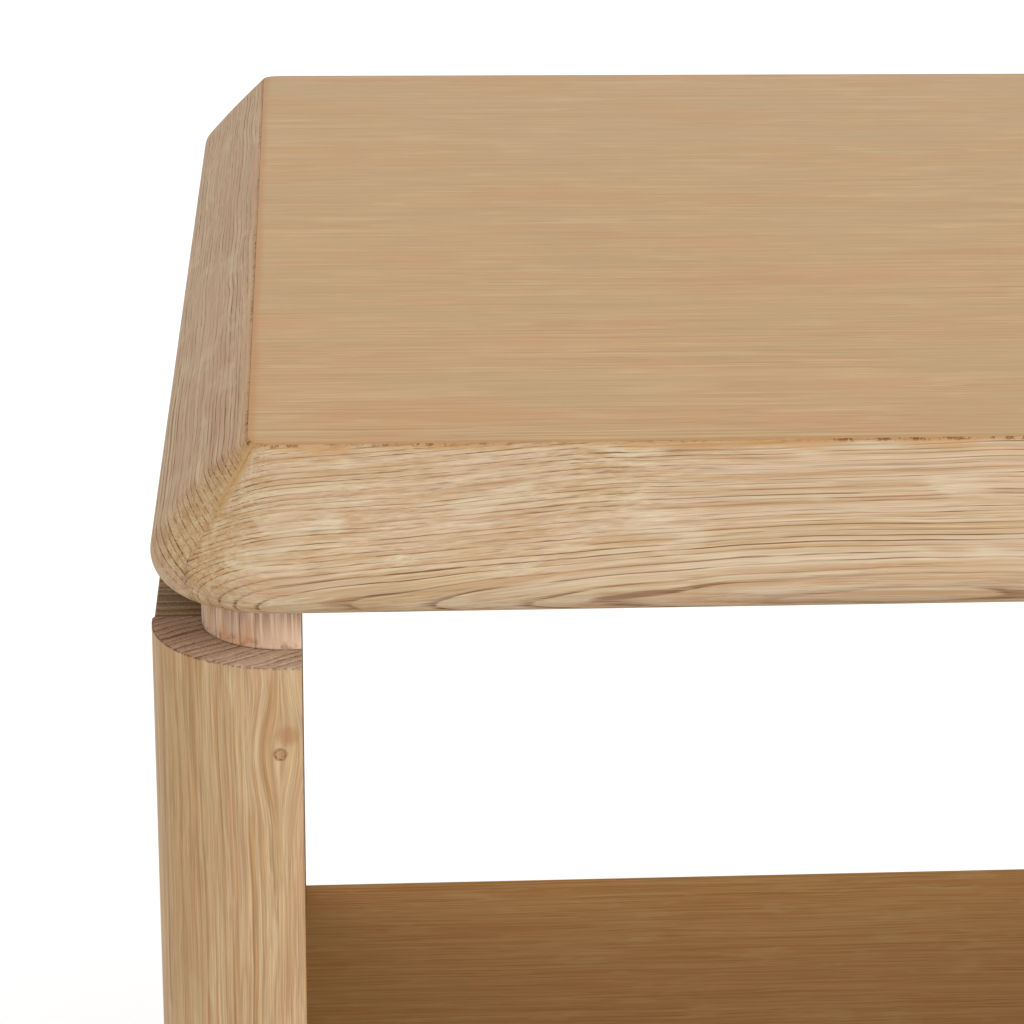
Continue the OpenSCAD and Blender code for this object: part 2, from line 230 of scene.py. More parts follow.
def outline(points, radii, inset=0.0, steps=4):
    """Closed outline through square corners, each with a fillet, shrunk by an inset.

    With u the way in and v the way out of a corner p, the outward sides point along
    (uy, -ux) and (vy, -vx), and the shrunk corner is p less the inset times their sum.
    The fillet's centre is p - r u + r v, and its points are the centre plus
    r (u sin a - v cos a) for a from 0 to 90 degrees. Hollow corners grow as others
    shrink.
    """
    points = np.asarray(points, float)
    way_out = np.roll(points, -1, axis=0) - points
    way_out /= np.linalg.norm(way_out, axis=1, keepdims=True)
    way_in = np.roll(way_out, 1, axis=0)
    side = (way_in + way_out)[:, ::-1] * [1, -1]
    hollow = way_in[:, 0] * way_out[:, 1] - way_in[:, 1] * way_out[:, 0] < 0
    radius = np.broadcast_to(radii, len(points)) + np.where(hollow, inset, -inset)
    radius = np.maximum(radius, 0)[:, None, None]
    u = way_in[:, None]
    v = way_out[:, None]
    angle = np.linspace(0, np.pi / 2, steps + 1)[None, :, None]
    centre = (points - inset * side)[:, None] + radius * (v - u)
    arcs = centre + radius * (u * np.sin(angle) - v * np.cos(angle))
    arcs = np.concatenate([arcs[:, :1] - SUPPORT * u, arcs, arcs[:, -1:] + SUPPORT * v],
                          axis=1)
    return arcs.reshape(-1, 2)


def lifted(flat, height):
    """A flat outline at a height."""
    return np.column_stack([flat, np.full(len(flat), height)])


def slab(points, radii, low, high, arris, steps=4):
    """Rows of a slab whose outline is filleted and whose arrises are rounded.

    In an arris of radius r the inset is r (1 - sin t) and the rise is r (1 - cos t).
    """
    t = np.linspace(0, np.pi / 2, ARRIS_TURNS + 1)
    inset = np.concatenate([[arris + SUPPORT], arris * (1 - np.sin(t)), [0.0]])
    rise = np.concatenate([[0.0], arris * (1 - np.cos(t)), [arris + SUPPORT]])
    rows = [lifted(outline(points, radii, i, steps), low + r) for i, r in zip(inset, rise)]
    rows += [lifted(outline(points, radii, i, steps), high - r)
             for i, r in zip(inset[::-1], rise[::-1])]
    return np.stack(rows)


def rectangle(low, high):
    """Corners of a rectangle, anticlockwise."""
    return [(high[0], low[1]), (high[0], high[1]), (low[0], high[1]), (low[0], low[1])]


def board(low, high, arris):
    """A plain board that fills a box, with all its arrises rounded."""
    return slab(rectangle(low, high), arris, low[2], high[2], arris)


def facing_front(grid):
    """Stands a grid up: its second axis becomes height and its third faces the front."""
    return grid[..., [0, 2, 1]] * [1, -1, 1]


print("a rounded square has", len(outline(rectangle((0, 0), (1, 1)), 0.1)), "points")

# %% [markdown]
# Shader maths reads best as arithmetic. A Value wraps one socket that carries a number,
# and each operator on it adds the Math node that it stands for, also when the plain
# number comes first, as in 1 - mask.

# %% Shader arithmetic
class Value:
    """A number that varies over a surface."""

    def __init__(self, tree, socket):
        self.tree = tree
        self.socket = socket

    def math(self, operation, *others):
        """A Math node on this value and the others."""
        return self.tree.number("ShaderNodeMath", {"operation": operation}, self, *others)

    def __add__(self, other):
        return self.math("ADD", other)

    def __mul__(self, other):
        return self.math("MULTIPLY", other)

    def __sub__(self, other):
        return self.math("SUBTRACT", other)

    def __rsub__(self, other):
        return self.tree.number("ShaderNodeMath", {"operation": "SUBTRACT"}, other, self)

    def __truediv__(self, other):
        return self.math("DIVIDE", other)

    __radd__ = __add__
    __rmul__ = __mul__


print("values know", sum(name.startswith("__r") for name in vars(Value)), "reflected operators")

# %% [markdown]
# A Tree holds the nodes of one material. One method makes every node: it takes the
# node's type, its settings, and what goes into its sockets. The others name the few
# nodes that wood and metal need here: noise for soft variation, scattered points for
# vessels and rays, a smooth step to turn either into a mask, and a mix of two colours.

# %% The nodes of a material
class Tree:
    """The nodes of one material."""

    def __init__(self, name):
        self.material = bpy.data.materials.new(name)
        self.material.use_nodes = True
        self.nodes = self.material.node_tree.nodes
        self.links = self.material.node_tree.links
        self.shader = self.nodes["Principled BSDF"]

    def put(self, socket, value):
        """Sets a socket, or links it to a value."""
        if isinstance(value, Value):
            value = value.socket
        if isinstance(value, bpy.types.NodeSocket):
            self.links.new(value, socket)
        elif value is not None:
            socket.default_value = value

    def node(self, kind, settings, sockets):
        """A node of any kind: its settings first, then its sockets, by name or number."""
        made = self.nodes.new(kind)
        for key, value in settings.items():
            setattr(made, key, value)
        for key, value in sockets.items():
            self.put(made.inputs[key], value)
        return made

    def number(self, kind, settings, *values):
        """A node whose sockets are filled in order and whose first output is a number."""
        made = self.node(kind, settings, dict(enumerate(values)))
        return Value(self, made.outputs[0])

    def vector(self, x, y, z):
        """Three values as one vector."""
        return self.number("ShaderNodeCombineXYZ", {}, x, y, z).socket

    def place(self):
        """Object coordinates in millimetres, and how squarely each axis faces out."""
        found = self.node("ShaderNodeTexCoord", {}, {})
        at = self.node("ShaderNodeSeparateXYZ", {}, {"Vector": found.outputs["Object"]})
        facing = self.node("ShaderNodeSeparateXYZ", {}, {"Vector": found.outputs["Normal"]})
        return ([Value(self, at.outputs[k]) * MM_PER_METRE for k in range(3)],
                [Value(self, facing.outputs[k]).math("ABSOLUTE") for k in range(3)])

    def noise(self, x, y, z, detail=2.0, roughness=0.5):
        """Soft noise around one half, at a point given in cells."""
        made = self.node("ShaderNodeTexNoise", {}, {"Vector": self.vector(x, y, z), "Scale": 1.0,
                                                    "Detail": detail, "Roughness": roughness})
        return Value(self, made.outputs[0])

    def cells(self, x, y, z):
        """Distance to the nearest of a scatter of points, one to a cell."""
        made = self.node("ShaderNodeTexVoronoi", {}, {"Vector": self.vector(x, y, z),
                                                      "Scale": 1.0})
        return Value(self, made.outputs[0])

    def step(self, value, start, end):
        """Smooth rise from 0 at start to 1 at end; start may be the larger."""
        made = self.node("ShaderNodeMapRange", {"interpolation_type": "SMOOTHSTEP"},
                         {"Value": value, "From Min": min(start, end),
                          "From Max": max(start, end), "To Min": float(start > end),
                          "To Max": float(start < end)})
        return Value(self, made.outputs[0])

    def attribute(self, name):
        """A number stored on the mesh."""
        made = self.node("ShaderNodeAttribute", {"attribute_name": name}, {})
        return Value(self, made.outputs["Fac"])

    def mix(self, factor, first, second, blend="MIX"):
        """Two colours blended by a factor."""
        made = self.node("ShaderNodeMix", {"data_type": "RGBA", "blend_type": blend},
                         {0: factor, 6: first, 7: second})
        return made.outputs[2]

    def grey(self, value):
        """A number as a colour, to multiply with."""
        return self.number("ShaderNodeCombineColor", {}, value, value, value).socket

    def finish(self, colour, roughness, height=None, depth=0.1 * MM, strength=0.5, gloss=0.5):
        """Feeds the shader; height becomes a bump of the given depth."""
        self.put(self.shader.inputs["Base Color"], colour)
        self.put(self.shader.inputs["Roughness"], roughness)
        self.put(self.shader.inputs["Specular IOR Level"], gloss)
        if height is not None:
            bump = self.node("ShaderNodeBump", {}, {"Strength": strength, "Distance": depth,
                                                    "Height": height})
            self.put(self.shader.inputs["Normal"], bump.outputs["Normal"])
        return self.material


def srgb(red, green, blue, tone=(1, 1, 1)):
    """A screen colour from 0 to 255 as the light it stands for, times a tone."""
    part = np.array([red, green, blue]) / 255
    light = np.where(part < 0.04045, part / 12.92, ((part + 0.055) / 1.055) ** 2.4)
    return (*(light * tone).tolist(), 1.0)


print("a cream of 216, 190, 156 on a screen is light of", np.round(srgb(216, 190, 156), 2))

# %% [markdown]
# Wood is solid all through, so its pattern had better be solid too. A log is a set of
# rings about the heart of the tree, and a board is a box cut from it. If each board gets
# a grain direction and a heart, and the rings are worked out in the board's own space,
# its faces, round corners and end grain agree with each other without any unwrapping.
# No log is perfectly straight: soft noise lets it wander, a knot parts its fibres, and
# every board is cut further along it, so that no two are alike.

# %% The log that a board is cut from
LOG_STEP = 1370.0
DROOP_FROM = -120.0
DROOP_TO = -260.0
KNOT_REACH = 9.0
WANDER = 2.5


def cut_from_log(tree, along, heart, seed, sway, knot, droop):
    """Where a point of the board lies in the log, in millimetres.

    a and b are the ways across the grain from the heart, radius is the root of
    a a + b b, and spoke is the angle between them times the heart's own distance. end is
    1 where the grain ends in the surface, and oblique where it comes near to that.
    """
    axis, facing = tree.place()
    turn = "xyz".index(along)
    grain, across, up = [axis[(turn + k) % 3] for k in range(3)]
    if knot is not None:
        gap = across - knot[1]
        far = ((grain - knot[0]) * 0.45).math("POWER", 2.0) + gap * gap
        far = far.math("SQRT")
        across = across - gap * tree.step(far, KNOT_REACH, 1.0) * 0.75
    dip = droop * tree.step(grain, DROOP_FROM, DROOP_TO)
    grain = grain + LOG_STEP * seed
    drift = tree.noise(grain * 0.0075, across * 0.02, up * 0.02, 3.0, 0.6) - 0.5
    wander = tree.noise(grain * 0.0065, across * 0.02, up * 0.02 + 40, 3.0, 0.6) - 0.5
    a = across - heart[0] + drift * (WANDER * sway)
    b = up - heart[1] + wander * (WANDER * sway) + dip
    return SimpleNamespace(axis=axis, grain=grain, a=a, b=b,
                           radius=(a * a + b * b).math("SQRT"),
                           spoke=b.math("ARCTAN2", a) * np.hypot(*heart),
                           end=tree.step(facing[turn], 0.6, 0.95),
                           oblique=tree.step(facing[turn], 0.25, 0.70))


print("boards are cut", LOG_STEP, "mm apart along the log")

# %% [markdown]
# Oak is ring porous: each year it lays down a band of wide vessels and then dense,
# smooth wood. Cut along the grain, the vessels are long brown scratches in rows; cut
# across, they are dots in curved lines, crossed by pale rays. Each of these is a noise
# or a scatter of points that is drawn out along the grain, kept to its part of the year,
# and made stronger in some years than in others.

# %% What grows in a year
def grown(tree, log, ring, seed):
    """Masks from 0 to 1 for what the eye picks out in the wood.

    A year is the radius over the ring's width, made uneven. Its fraction is the part of
    the year that has passed, and its whole number draws the lot for that year.
    """
    grain, a, b, radius, end = log.grain, log.a, log.b, log.radius, log.end
    year = radius * (1 / ring)
    year = year + (tree.noise(year * 0.6, seed, 0.0, 2.0) - 0.5) * 2.2
    part = year.math("FRACT")
    lot = tree.number("ShaderNodeTexWhiteNoise", {"noise_dimensions": "1D"}, None,
                      year.math("FLOOR"))
    region = tree.noise(grain * 0.013, a * 0.16, b * 0.16 + 5, 2.0)
    dash = tree.noise(grain * 0.028, a * 1.5, b * 1.5, 2.0, 0.6)
    vessel = tree.cells(grain * 0.06, a * 2.3, b * 2.3)
    fleck = tree.noise(grain * 0.035 + radius * 0.02, radius * 0.10, log.spoke * 0.30, 2.0,
                       0.6)
    ray = tree.cells(grain * 0.10, radius * 0.10, log.spoke * 1.3)
    row = tree.step(part, 0.34, 0.07) * tree.step(part, 0.0, 0.07)
    row = row * (0.25 + 0.75 * tree.step(dash, 0.38, 0.56))
    row = row * (0.42 + 0.58 * tree.step(region, 0.36, 0.60)) * (0.45 + 0.55 * lot)
    dot = tree.step(vessel, 0.36, 0.14) * tree.step(part, 0.62, 0.25)
    return SimpleNamespace(region=region, dash=dash,
                           fibre=tree.noise(grain * 0.04, a * 3.4, b * 3.4, 3.0, 0.65),
                           streak=tree.noise(grain * 0.009, a * 0.8, b * 0.8 + 7, 4.0, 0.65),
                           stipple=tree.noise(grain * 0.9, a * 1.7, b * 1.7, 2.0, 0.6),
                           vessels=(row + dot * (0.26 + 0.45 * end)).math("MINIMUM", 1.0),
                           pale=tree.step(fleck, 0.54, 0.68) * (1 - end),
                           thread=tree.step(ray, 0.26, 0.08) * end,
                           early=tree.step(part, 0.80, 0.50) * tree.step(part, 0.0, 0.08))


print("a year's vessels lie in the first third of its ring")

# %% [markdown]
# The finish puts the masks together. Between the vessels the wood runs from cream to
# tan, with pink and pale patches, and its fibres are a little lighter or darker. Then
# come the brown of the vessels, the marks that the maker left, and arrises burnished in
# places. The vessels are also sunk into the surface and take less oil, so they are
# rougher than the wood between them.

# %% Solid oak
PORE_DEPTH = 0.14 * MM
PORE_STRENGTH = 0.6


def oak(name, along, heart, ring=2.0, seed=0.0, tone=(1, 1, 1), lines=1.0, sway=3.0,
        contrast=1.0, fuzz=0.6, marks=(), knot=None, droop=0.0, wear=0.6,
        end_tone_and_light=0.25, end_lines=1.0, gloss=0.22):
    """Oak whose grain runs along one axis, with its heart at a point across it.

    Lengths are in millimetres. ring is the width of a year's growth, lines how dark the
    rows of vessels are, sway how far the grain wanders, contrast how much the wood
    between them varies and fuzz how much its fibres do. On end grain, the end tone is how
    much darker the wood is: in part the end grain's own tone, and in part painted light on
    the legs' lit ledges and painted shade on the sides' shaded ones. end_lines is how dark
    the rings are. marks are functions that take the tree, the place, the colour and the
    darkness of the lines, and give back the last two. knot is a point on two axes that the
    grain flows round, droop is how far the grain dips towards the board's low end, and gloss
    is the oil's sheen.
    """
    tree = Tree(name)
    log = cut_from_log(tree, along, heart, seed, sway, knot, droop)
    wood = grown(tree, log, ring, seed)
    end = log.end
    cream = srgb(216, 190, 156, tone)
    tan = srgb(193, 153, 108, tone)
    pink = srgb(201, 158, 128, tone)
    white = srgb(222, 203, 171, tone)
    brown = srgb(120, 74, 42, np.multiply(tone, (1.0, 0.86, 0.68)))
    colour = tree.mix(tree.step(wood.streak, 0.33, 0.67) * contrast, cream, tan)
    colour = tree.mix(tree.step(wood.region, 0.62, 0.38) * (0.32 * contrast), colour, pink)
    colour = tree.mix(wood.pale * (0.38 * contrast), colour, white)
    light = 1.0 + (wood.fibre - 0.5) * fuzz + (wood.stipple - 0.5) * 0.9 * log.oblique
    light = light * (1.0 + 0.35 * wood.thread)
    # On end grain the wood is darker by its own tone. The end tone adds painted light on the
    # legs' ledges and painted shade on the sides' ledges.
    light = light * (1.0 - end * (end_tone_and_light + 0.34 * wood.early))
    colour = tree.mix(1.0, colour, tree.grey(light), "MULTIPLY")
    dark = wood.vessels * (lines + (end_lines - lines) * end) * (1 - 0.5 * wood.pale)
    for mark in marks:
        colour, dark = mark(tree, log.axis, colour, dark)
    rim = tree.attribute("edge") * tree.step(wood.dash, 0.35, 0.60)
    dark = (dark + rim * wear * 0.45).math("MINIMUM", 1.0)
    colour = tree.mix(dark * 0.9, colour, brown)
    rough = 0.50 + 0.22 * dark + (wood.fibre - 0.5) * 0.15 + 0.1 * end
    height = 0.35 * wood.fibre - dark - 0.15 * wood.early
    return tree.finish(colour, rough, height, PORE_DEPTH, PORE_STRENGTH, gloss)


print("the pores of the oak are", round(PORE_DEPTH / MM, 2), "mm deep")

# %% [markdown]
# The top is a veneered board framed by four solid lippings. A lipping's face starts at a
# crisp arris beside the board, slopes outward in a very slight dome and turns under in a
# small nose. At the corners the mitre begins as a sharp crease and is sanded away
# towards the edge, where the corner is fully round.

# %% The lippings of the top
NOSE = 8 * MM
DOME = 130 * MM
CORNER = 28 * MM
ARRIS_CORNER = 6 * MM
ARRIS_DROP = 0.3 * MM
CORNER_POWER = 1.8
SECTION_STEPS = 25
CORNER_COLUMNS = 17
SIDE_COLUMNS = 9
SIDE_REACH = 0.99
thickness = top_z - under_z


def rim_profile():
    """Points (inset, height, corner radius) round the section of a lipping.

    The dome is a large arc from the arris; it runs into the nose, a small arc, where the
    two circles touch. With g the way gone from the arris to the outline, from 0 to 1,
    the corner radius grows by 1 - (1 - g) to the power 1.8, and under the nose it is the
    outline's radius less the inset.
    """
    nose = np.array([rim_width - NOSE, NOSE])
    arris = np.array([0.0, thickness])
    reach = np.linalg.norm(arris - nose)
    span = DOME - NOSE
    swing = np.arccos((span ** 2 + reach ** 2 - DOME ** 2) / (2 * span * reach))
    angle = np.arctan2(*(arris - nose)[::-1]) + swing
    dome = nose + span * np.array([np.cos(angle), np.sin(angle)])
    start = np.arctan2(*(arris - dome)[::-1])
    touch = angle - np.pi
    bend = np.linspace(start, touch, SECTION_STEPS)
    roll = np.linspace(touch, -np.pi / 2, SECTION_STEPS)[1:]
    face = dome + DOME * np.stack([np.cos(bend), np.sin(bend)], axis=-1)
    turn = nose + NOSE * np.stack([np.cos(roll), np.sin(roll)], axis=-1)
    line = np.concatenate([[[0.0, thickness - ARRIS_DROP]], face, turn,
                           [[nose[0] - SUPPORT, 0.0], [SUPPORT, 0.0], [0.0, 0.0]]])
    inset = rim_width - line[:, 0]
    under = line[:, 1] < NOSE
    gone = np.clip(1 - inset / rim_width, 0, 1)
    opened = ARRIS_CORNER + (CORNER - ARRIS_CORNER) * (1 - (1 - gone) ** CORNER_POWER)
    radius = np.where(under, np.maximum(CORNER - inset, ARRIS_CORNER), opened)
    return inset, under_z + line[:, 1], radius


def rim_grid(turn):
    """Rows run round the section, columns from mitre to mitre along one side.

    Made for the front and turned about the upright axis. A row's ends are arcs from the
    mitre, 45 degrees round the corner, to the straight side.
    """
    inset, height, radius = rim_profile()
    half = outline_half - inset
    left = np.radians(np.linspace(225, 270, CORNER_COLUMNS))
    right = np.radians(np.linspace(270, 315, CORNER_COLUMNS))
    centre = (half - radius)[:, None]
    radius = radius[:, None]
    x = np.concatenate([-centre + radius * np.cos(left),
                        np.linspace(-SIDE_REACH, SIDE_REACH, SIDE_COLUMNS) * centre,
                        centre + radius * np.cos(right)], axis=1)
    y = np.concatenate([-centre + radius * np.sin(left),
                        np.tile(-half[:, None], (1, SIDE_COLUMNS)),
                        -centre + radius * np.sin(right)], axis=1)
    z = np.tile(height[:, None], (1, x.shape[1]))
    grid = np.stack([x, y, z], axis=-1)
    first = np.tile(grid[:, 0].mean(axis=0), (len(grid), 1))[:, None]
    last = np.tile(grid[:, -1].mean(axis=0), (len(grid), 1))[:, None]
    grid = np.concatenate([first, grid, last], axis=1)
    grid = np.concatenate([grid, grid[:1]])[::-1]
    cos, sin = round(np.cos(turn)), round(np.sin(turn))
    return grid @ np.array([[cos, sin, 0], [-sin, cos, 0], [0, 0, 1]])


print("a lipping is", round(thickness / MM, 1), "mm thick, with", len(rim_profile()[0]),
      "points round its section")

# %% [markdown]
# A maker leaves marks. Glue creeps into the mitres, and the veneer shows a golden edge
# with torn specks beside the lippings. The lippings also carry painted light and shade,
# and round the corner the painted light of one lipping runs into the painted shade of the
# next. A mark is a function that takes the colour and the darkness so far and gives back
# both, so that each board can carry its own list of them.

# %% Marks of making on the top, with its painted light and shade
# The front tone is the lit copy of the lippings' oak. The side tone is the same oak painted
# darker as painted shade, because the soft box lights the front and not the sides.
LIT_FRONT_TONE = (0.63, 0.66, 0.675)
SHADED_SIDE_TONE = (0.51, 0.45, 0.33)
TOP_TONE = (0.555, 0.47, 0.315)
ROOT_HALF = 0.707


def past_mitre(axis):
    """Distance from the nearer mitre: the difference of |x| and |y| over the root of 2."""
    apart = axis[0].math("ABSOLUTE") - axis[1].math("ABSOLUTE")
    return apart.math("ABSOLUTE") * ROOT_HALF


def past_arris(axis):
    """Distance outside the arris of the veneered board, in millimetres.

    With c the half width less the corner radius, it is the length of the parts of |x|
    and |y| beyond c, less the radius.
    """
    reach = (panel_half - ARRIS_CORNER) * MM_PER_METRE
    x, y = [(axis[k].math("ABSOLUTE") - reach).math("MAXIMUM", 0.0) for k in (0, 1)]
    return (x * x + y * y).math("SQRT") - ARRIS_CORNER * MM_PER_METRE


def mitre_glue(tree, axis, colour, dark):
    """A thin golden wedge and a hair of glue along the mitres."""
    off = past_mitre(axis)
    rag = tree.noise(axis[0] * 0.3, axis[1] * 0.3, axis[2] * 0.3, 2.0) - 0.5
    wedge = tree.step(off + rag * 1.2, 1.7, 1.0) * tree.step(axis[2], 530.0, 540.0)
    hair = tree.step(off, 0.14, 0.04) * tree.step(rag, -0.10, 0.15)
    colour = tree.mix(wedge * 0.75, colour, srgb(196, 152, 96, LIT_FRONT_TONE))
    return colour, (dark * (1 - 0.85 * wedge) + hair * 0.3).math("MINIMUM", 1.0)


def veneer_line(tree, axis, colour, dark):
    """The veneer's golden edge outside the arris of the board, with torn dark specks."""
    off = past_arris(axis)
    rag = tree.noise(axis[0] * 0.06, axis[1] * 0.06, 0.0, 3.0, 0.6) - 0.5
    band = tree.step(off + rag * 6.0, 2.2, 0.4)
    speck = tree.step(tree.noise(axis[0] * 0.55, axis[1] * 0.55, 9.0, 3.0, 0.7), 0.5, 0.58)
    torn = tree.step(tree.noise(axis[0] * 0.02, axis[1] * 0.02, 3.0, 1.0), 0.40, 0.56)
    thin = tree.step(off, 0.9, 0.3) * speck * (0.25 + 0.75 * torn)
    colour = tree.mix(band * 0.6, colour, srgb(196, 142, 80, LIT_FRONT_TONE))
    return colour, (dark * (1 - 0.6 * band) + thin * 0.75).math("MINIMUM", 1.0)


def blended_corner_shade(own, other):
    """A mark that blends the painted light of the front lippings and the painted shade of the
    sides round the corner.

    Both reach the root of the product of the two tones at the mitre, low on the nose.
    """
    share = (*np.sqrt(np.divide(other, own)).tolist(), 1.0)

    def mark(tree, axis, colour, dark):
        off = past_mitre(axis)
        near = tree.step(off, 22.0, 0.0) * tree.step(axis[2], 545.0, 532.0)
        # painted light and shade: near the mitre, low on the nose, the tone is pulled halfway
        # towards the neighbour's
        return tree.mix(near, colour, tree.mix(1.0, colour, share, "MULTIPLY")), dark

    return mark


def leaf_clouds(tree, axis, colour, dark):
    """Soft greyish and golden clouds in the veneer leaf."""
    cloud = tree.noise(axis[0] * 0.012, axis[1] * 0.03, 8.0, 3.0, 0.6)
    colour = tree.mix(tree.step(cloud, 0.48, 0.66) * 0.5, colour, srgb(196, 176, 140, TOP_TONE))
    return tree.mix(tree.step(cloud, 0.50, 0.34) * 0.4, colour,
                    srgb(206, 160, 104, TOP_TONE)), dark


def veneer_rim(tree, axis, colour, dark):
    """A golden strip of the veneer beside its own edge."""
    off = past_arris(axis) * -1
    rag = tree.noise(axis[0] * 0.03, axis[1] * 0.03, 4.0, 3.0) - 0.5
    band = tree.step(off + rag * 3.0, 2.6, 0.6)
    colour = tree.mix(band * 0.6, colour, srgb(196, 142, 76, TOP_TONE))
    return colour, dark


print("the front lipping is", round(LIT_FRONT_TONE[0] / SHADED_SIDE_TONE[0], 2), "times as bright as a side")

# %% [markdown]
# The front and back lippings are cut so that their rings meet the sloping face at a low
# angle: they show as long lines that dip towards one corner. The side lippings are the
# same oak in a darker tone, which is painted shade for the sides that the soft box does not
# light. The board between them is veneered with a straight leaf, cut far from the heart,
# whose rings show as fine even lines.

# %% The top's five pieces
VENEER_ARRIS = 0.2 * MM
front_marks = (blended_corner_shade(LIT_FRONT_TONE, SHADED_SIDE_TONE), mitre_glue, veneer_line)
side_marks = (blended_corner_shade(SHADED_SIDE_TONE, LIT_FRONT_TONE), mitre_glue, veneer_line)
rims = {
    "rim_front": (0, oak("oak rim front", "x", (-590, 285), 1.3, 1, LIT_FRONT_TONE, 1.5,
                         sway=2.4, fuzz=0.9, marks=front_marks, droop=12.0)),
    "rim_right": (np.pi / 2, oak("oak rim right", "y", (235, 540), 1.4, 2, SHADED_SIDE_TONE,
                                 1.5, fuzz=1.1, marks=side_marks)),
    "rim_back": (np.pi, oak("oak rim back", "x", (590, 285), 1.4, 3, LIT_FRONT_TONE, 1.4,
                            sway=2.4, fuzz=0.9, marks=front_marks)),
    "rim_left": (-np.pi / 2, oak("oak rim left", "y", (235, -540), 1.4, 4, SHADED_SIDE_TONE,
                                 1.5, fuzz=1.1, marks=side_marks)),
}
for node, (turn, wood) in rims.items():
    make_piece("oak_" + node, rim_grid(turn), wood, "carcass", node, capped=False)

veneer = oak("oak veneer top", "x", (1500, 40), 0.95, 5, TOP_TONE, 0.40, 1.5,
             contrast=0.8, fuzz=1.3, marks=(leaf_clouds, veneer_rim), wear=0)
make_piece("oak_top_panel", slab(rectangle(panel_low, panel_high), ARRIS_CORNER,
                                 panel_low[2], panel_high[2], VENEER_ARRIS),
           veneer, "carcass", "top_panel")

# %% [markdown]
# A leg is a square post with one corner turned to a generous quarter round. Just under
# the top it is cut back on its two outer faces, which leaves a neck on the two inner
# ones and a ledge of end grain. The rows climb the post, cross the ledge and go on up
# the neck. The neck stands three hundredths of a millimetre inside the inner faces, so
# that the ledge has some width all the way round and no face is folded flat.

# %% The shape of a leg
LEG_CORNER = 30 * MM
NECK_INSET = 11 * MM
SHADOW_GAP = 9.9 * MM
LEDGE_Z = neck_z - SHADOW_GAP
LEG_ARRIS = 0.6 * MM
LEDGE_ARRIS = 0.3 * MM
FOOT_ARRIS = 1.5 * MM
HAIR = 0.03 * MM
LEG_STEPS = 16


def leg_grid(node):
    """Rows from the foot to the top of the neck, with the round corner facing outward."""
    low, high = corners(node)
    out = np.sign(low[:2] + high[:2])
    points = np.array(rectangle(low, high))
    outer = ((points - (low + high)[:2] / 2) * out > 0).all(axis=1)
    radii = np.where(outer, LEG_CORNER, LEG_ARRIS)
    neck_low = low[:2] + np.where(out < 0, NECK_INSET, HAIR)
    neck_high = high[:2] - np.where(out > 0, NECK_INSET, HAIR)
    neck_radii = np.where(outer, LEG_CORNER - NECK_INSET, LEG_ARRIS)
    post = outline(points, radii, 0, LEG_STEPS)
    neck = outline(rectangle(neck_low, neck_high), neck_radii, 0, LEG_STEPS)

    t = np.linspace(0, np.pi / 2, ARRIS_TURNS + 1)
    rows = [lifted(outline(points, radii, FOOT_ARRIS * (1 - s), LEG_STEPS),
                   low[2] + FOOT_ARRIS * r) for s, r in zip(np.sin(t), 1 - np.cos(t))]
    rows.append(lifted(post, low[2] + FOOT_ARRIS + SUPPORT))
    rows.append(lifted(post, LEDGE_Z - LEDGE_ARRIS - SUPPORT))
    share = LEDGE_ARRIS / NECK_INSET
    rows += [lifted(post + share * s * (neck - post), LEDGE_Z - LEDGE_ARRIS * (1 - r))
             for s, r in zip(1 - np.cos(t), np.sin(t))]
    rows += [lifted(post + s * (neck - post), LEDGE_Z) for s in (share + 0.03, 0.97, 1.0)]
    rows.append(lifted(neck, LEDGE_Z + SUPPORT))
    rows.append(lifted(neck, high[2]))
    return np.stack(rows)


print("the ledge is", round(LEDGE_Z / MM, 1), "mm up and", round(NECK_INSET / MM, 1), "mm wide")

# %% [markdown]
# The legs have marks of their own. The front left one has a small knot below its ledge.
# Every neck is painted paler than the post, as painted light for the light that reaches
# it from low in front. Its ledge is end grain, which goes grey, and is painted darker on
# its outer side as painted shade under the top. The round corners are painted a little
# darker and yellower, as painted shade.

# %% Marks on the legs
LEG_TONE = (0.59, 0.56, 0.49)
KNOT = (487.4, -221.9)
LEDGE = LEDGE_Z * MM_PER_METRE


def pin_knot(tree, axis, colour, dark):
    """A small knot on the front face: a ragged dark ring, a rusty heart, a stain above."""
    across = axis[0] - KNOT[1]
    up = axis[2] - KNOT[0]
    shallow = tree.step(axis[1], -235.0, -243.0)
    rag = tree.noise(axis[0] * 1.3, axis[1] * 0.2, axis[2] * 1.3, 3.0, 0.7) - 0.5
    far = (across * across + up * up).math("SQRT") + rag * 1.3
    ring = tree.step(far, 0.9, 1.25) * tree.step(far, 1.7, 1.4) * shallow
    heart = tree.step(far, 1.6, 1.0) * shallow
    stain = (across * 0.45 - 0.7).math("POWER", 2.0) + ((up - 4.4) * 0.5).math("POWER", 2.0)
    stain = tree.step(stain + rag * 1.6, 2.2, 0.0) * shallow
    colour = tree.mix(heart * 0.5, colour, srgb(172, 116, 84, LEG_TONE))
    colour = tree.mix(stain * 0.5, colour, srgb(170, 116, 66, LEG_TONE))
    speck = ring * tree.step(rag, -0.02, 0.12)
    return colour, (dark * (1 - heart) + ring * 0.4 + speck * 0.5).math("MINIMUM", 1.0)


